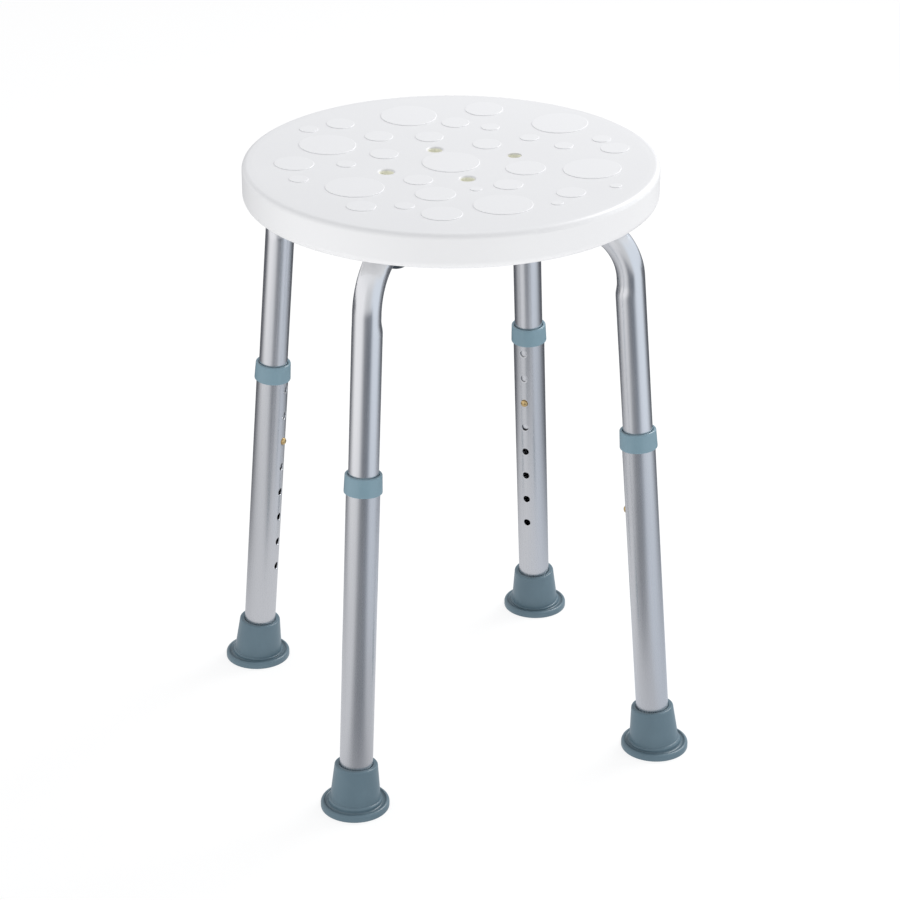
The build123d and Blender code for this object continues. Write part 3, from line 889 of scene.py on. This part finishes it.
def make_spring_clips():
    """One hairpin in each leg, in its rest shape and with no body."""
    near, far, low, height, turned, full = clip_line()
    section = clip_section() * full[:, None, None]
    r = (near - far) / 2 + section[..., 0]
    across, up = np.cos(turned)[:, None], np.sin(turned)[:, None]
    points = np.stack([(near + far) / 2 + r * across, section[..., 1], height[:, None] + r * up], axis=-1)
    faces = grid_quads(*points.shape[:2])
    # Points a millimetre in from the far arm and from the near arm. Each leg's pair is placed but not used.
    fixed, pressed = np.array([[far + MM, 0, low], [near - MM, 0, low]])
    for leg in LEGS:
        piece = make_piece(
            f"spring_{leg}", placed(points.reshape(-1, 3), SPACE[leg]), faces,
            FINISH["spring_steel"], None, f"spring_clip_{leg}",
        )
        start, end = placed(np.array([fixed, pressed]), SPACE[leg])
        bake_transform(piece)
    print("spring clips:", len(faces), "faces each")


make_spring_clips()

# %% [markdown]
# ## Camera
# A long lens from chest height, a little to the left, shows the stool as a catalogue does: the
# top as a flat ellipse and all four legs apart. The roll is zero, so the aim is a heading and a tilt.
# %% Place the camera
CAMERA_PLACE = Vector((-0.790, -2.089, 1.303))
CAMERA_AIM = Vector((0.318, 0.846, -0.427))
LENS, SENSOR = 114.4, 36.0
LENS_SHIFT = (0.0049, -0.001)

lens = bpy.data.cameras.new("camera")
lens.lens = LENS
lens.sensor_width = SENSOR
lens.shift_x, lens.shift_y = LENS_SHIFT
camera = bpy.data.objects.new("camera", lens)
camera.location = CAMERA_PLACE
camera.rotation_euler = CAMERA_AIM.to_track_quat("-Z", "Y").to_euler()
bpy.context.scene.collection.objects.link(camera)
bpy.context.scene.camera = camera
print("camera", [round(v, 3) for v in CAMERA_PLACE])

# %% [markdown]
# ## Studio
# White plastic needs even light, so the sky and the sweep under the stool are near white. Polished
# tubes on plain white would look like grey plastic, so a studio sets dark cards before and behind
# them and leaves white at both sides. Those cards are painted here for glossy rays only, in soft
# steps: on the floor by place and in the sky by direction. The camera sees the white sweep with the
# shadow of the stool.
#
# In front, a dark card lies on the floor. A tube shows it as a stripe along its middle, which ends at the bend,
# because the card fades to grey far out and the sky above it is grey. Behind, floor and sky are dark, which gives
# the tubes dark edges. The floor at the stool's feet is painted grey as the stool's shadow, with more painted
# shade between the front legs, and bluer to the right.
# %% Reflected surroundings
TOWARDS_VIEWER = Vector((-CAMERA_AIM.x, -CAMERA_AIM.y, 0)).normalized()
ACROSS = Vector((-TOWARDS_VIEWER.y, TOWARDS_VIEWER.x, 0))
LEFT_WHITE = (0.95, 0.95, 0.97, 1)
RIGHT_WHITE = (0.76, 0.82, 0.9, 1)
NEAR_SHADE_GREY = (0.68, 0.69, 0.72, 1)
NEAR_SHADE_BLUE = (0.615, 0.66, 0.735, 1)
MIDDLE_GREY = (0.52, 0.53, 0.56, 1)
FRONT_CARD = (0.035, 0.05, 0.075, 1)
FRONT_GREY = (0.66, 0.67, 0.69, 1)
BACK_CARD = (0.1, 0.105, 0.12, 1)
TOP_WHITE = (0.85, 0.86, 0.88, 1)

# Each pair says where a soft step starts and where it is complete. On the floor these are metres
# from the middle of the stool.
LEFT_TO_RIGHT = (-0.3, 0.3)
GREY_TO_BLUE = (-0.05, 0.3)
GREY_TO_WHITE = (0.5, 1.25)
BACK_FROM_MIDDLE, BACK_FROM_FRONT = (0.15, 0.6), (-0.35, 0.65)
LEGS_SHADE, LEGS_SHADE_END = (0.0, 0.2), (0.35, 0.55)
LEGS_SHADE_MIDDLE, LEGS_SHADE_SIDES, LEGS_SHADE_SHARE = 0.08, (0.1, 0.26), 0.7
CARD_NEAR, CARD_FULL, CARD_TO_GREY = (0.05, 0.42), (0.85, 1.5), (1.7, 3.2)
CARD_NEAR_SHARE = 0.66
CARD_SHIFT, CARD_TURN = 0.1, 0.15
CARD_SLOPE = (0.2, 0.8)  # metres aside for each metre in front
# In the sky these are parts of a direction of length 1: upwards, forwards or to a side.
SKY_BACK_TO_GREY, SKY_TO_TOP = (0.0, 0.35), (0.35, 0.8)
SKY_BACK_TO_FRONT, SKY_TO_SIDES = (-0.2, 0.2), (0.15, 0.6)


def floor_mirrored(shader, place):
    """What metal sees of the floor: white at the sides, a dark card in front and behind, and the stool's shadow
    painted round its feet.

    The front card is a wedge: its share falls with the slope, the distance from its middle line
    for each metre in front. The middle line is turned a little to the right.
    """
    front, side = shader.dot(place, TOWARDS_VIEWER), shader.dot(place, ACROSS)
    white = shader.blend(shader.ramp(side, *LEFT_TO_RIGHT), LEFT_WHITE, RIGHT_WHITE)
    # Painted shade: near the stool the floor is grey for its shadow, bluer to the right, and darker still between
    # the front legs.
    near = shader.blend(shader.ramp(side, *GREY_TO_BLUE), NEAR_SHADE_GREY, NEAR_SHADE_BLUE)
    shade = shader.ramp(front, *LEGS_SHADE) * (1 - shader.ramp(front, *LEGS_SHADE_END))
    shade = shade * (1 - shader.ramp(abs(side - LEGS_SHADE_MIDDLE), *LEGS_SHADE_SIDES))
    near = shader.blend(shade * LEGS_SHADE_SHARE, near, MIDDLE_GREY)
    light = shader.blend(shader.ramp(abs(side), *GREY_TO_WHITE), near, white)
    away = shader.ramp((front * front + side * side) ** 0.5, *BACK_FROM_MIDDLE)
    light = shader.blend(away * shader.ramp(0 - front, *BACK_FROM_FRONT), light, BACK_CARD)
    slope = abs(side + CARD_SHIFT - front * CARD_TURN) / front.at_least(CARD_NEAR[0])
    card = shader.ramp(front, *CARD_NEAR) * CARD_NEAR_SHARE
    card = card + shader.ramp(front, *CARD_FULL) * (1 - CARD_NEAR_SHARE)
    dark = shader.blend(shader.ramp(front, *CARD_TO_GREY), FRONT_CARD, MIDDLE_GREY)
    return shader.blend(card * (1 - shader.ramp(slope, *CARD_SLOPE)), light, dark)


def sky_mirrored(shader, direction):
    """What metal sees of the sky: dark behind and grey in front, white at the sides and overhead."""
    front, side = shader.dot(direction, TOWARDS_VIEWER), shader.dot(direction, ACROSS)
    up = shader.dot(direction, (0, 0, 1))
    white = shader.blend(shader.ramp(side, *LEFT_TO_RIGHT), LEFT_WHITE, RIGHT_WHITE)
    card = shader.blend(shader.ramp(up, *SKY_BACK_TO_GREY), BACK_CARD, MIDDLE_GREY)
    card = shader.blend(shader.ramp(front, *SKY_BACK_TO_FRONT), card, FRONT_GREY)
    light = shader.blend(shader.ramp(abs(side), *SKY_TO_SIDES), card, white)
    return shader.blend(shader.ramp(up, *SKY_TO_TOP), light, TOP_WHITE)

# %% [markdown]
# ## Floor, sky and lamps
# The floor mixes white light of its own with a matt white, and the matt share is what takes the
# stool's shadow. The sky's own light is dimmer in front, so that the seat's rim stays darker than
# its top. Two weak softboxes, low down, fill in from the front left and from the right. The key lamp
# stands behind the stool on the right. It alone is mirrored, and puts the bright line on the rim.
# %% Build the studio
FLOOR_SIZE = 12.0
SWEEP_GLOW = 1.04
SWEEP_MATT = 0.95
SHADOW_SHARE = 0.22
SKY_LIGHT = (0.93, 0.935, 0.95, 1)
SKY_DIM = (0.42, 0.425, 0.44, 1)
SKY_LIGHT_TO_DIM = (-0.3, 0.5)  # parts of a direction of length 1, forwards
LAMP_AIM = Vector((0, 0, 0.35))
LAMP_SIZE = 0.9


def make_floor():
    """A square sweep: its glow and shadow for the camera, and the painted cards for glossy rays."""
    half = FLOOR_SIZE / 2
    mesh = bpy.data.meshes.new("floor")
    corners = [(-half, -half, 0), (half, -half, 0), (half, half, 0), (-half, half, 0)]
    mesh.from_pydata(corners, [], [(0, 1, 2, 3)])
    floor = bpy.data.objects.new("floor", mesh)
    bpy.context.scene.collection.objects.link(floor)
    finish = Finish("floor_finish", base_color=grey(SWEEP_MATT), roughness=0.9)
    finish.material.cycles.emission_sampling = "NONE"
    glossy_ray = finish.node("ShaderNodeLightPath", output="Is Glossy Ray")
    mirrored = floor_mirrored(finish, finish.place())
    cards = finish.node("ShaderNodeEmission", {}, {"Color": mirrored})
    white = finish.node("ShaderNodeEmission", {}, {"Color": grey(1), "Strength": SWEEP_GLOW})
    matt = Socket(finish.tree, finish.shader.outputs[0])
    sweep = finish.node("ShaderNodeMixShader", {}, {0: SHADOW_SHARE, 1: white, 2: matt})
    both = finish.node("ShaderNodeMixShader", {}, {0: glossy_ray, 1: sweep, 2: cards})
    finish.tree.links.new(both.socket, finish.tree.nodes["Material Output"].inputs["Surface"])
    mesh.materials.append(finish.material)


def make_sky():
    """Light that is dimmer in front, the painted sky for glossy rays and plain white for the camera."""
    world = bpy.data.worlds.new("studio")
    bpy.context.scene.world = world
    world.cycles.sampling_method = "NONE"
    sky = Shader(world)
    camera_ray = sky.node("ShaderNodeLightPath", output="Is Camera Ray")
    glossy_ray = sky.node("ShaderNodeLightPath", output="Is Glossy Ray")
    direction = sky.node("ShaderNodeTexCoord", output="Generated")
    front = sky.dot(direction, TOWARDS_VIEWER)
    plain = sky.blend(sky.ramp(front, *SKY_LIGHT_TO_DIM), SKY_LIGHT, SKY_DIM)
    light = sky.blend(glossy_ray, plain, sky_mirrored(sky, direction))
    seen = sky.blend(camera_ray, light, grey(1))
    sky.tree.links.new(seen.socket, sky.tree.nodes["Background"].inputs["Color"])


def make_lamp(name, heading, distance, height, power, mirrored=False):
    """A square softbox at a heading in degrees, aimed at the stool. Reflections show it if mirrored."""
    light = bpy.data.lights.new(name, "AREA")
    light.shape = "SQUARE"
    light.size = LAMP_SIZE
    light.energy = power
    softbox = bpy.data.objects.new(name, light)
    bearing = math.radians(heading)
    place = Vector((distance * math.cos(bearing), distance * math.sin(bearing), height))
    softbox.location = place
    softbox.rotation_euler = (LAMP_AIM - place).to_track_quat("-Z", "Y").to_euler()
    softbox.visible_camera = False
    softbox.visible_glossy = mirrored
    bpy.context.scene.collection.objects.link(softbox)


make_floor()
make_sky()
make_lamp("left_softbox", heading=-145, distance=1.9, height=0.45, power=11)
make_lamp("right_softbox", heading=-40, distance=1.8, height=0.45, power=9)
make_lamp("key_softbox", heading=20, distance=1.6, height=1.8, power=24, mirrored=True)
bpy.context.scene.view_settings.view_transform = "Standard"
print("studio: floor, sky and 3 lamps")
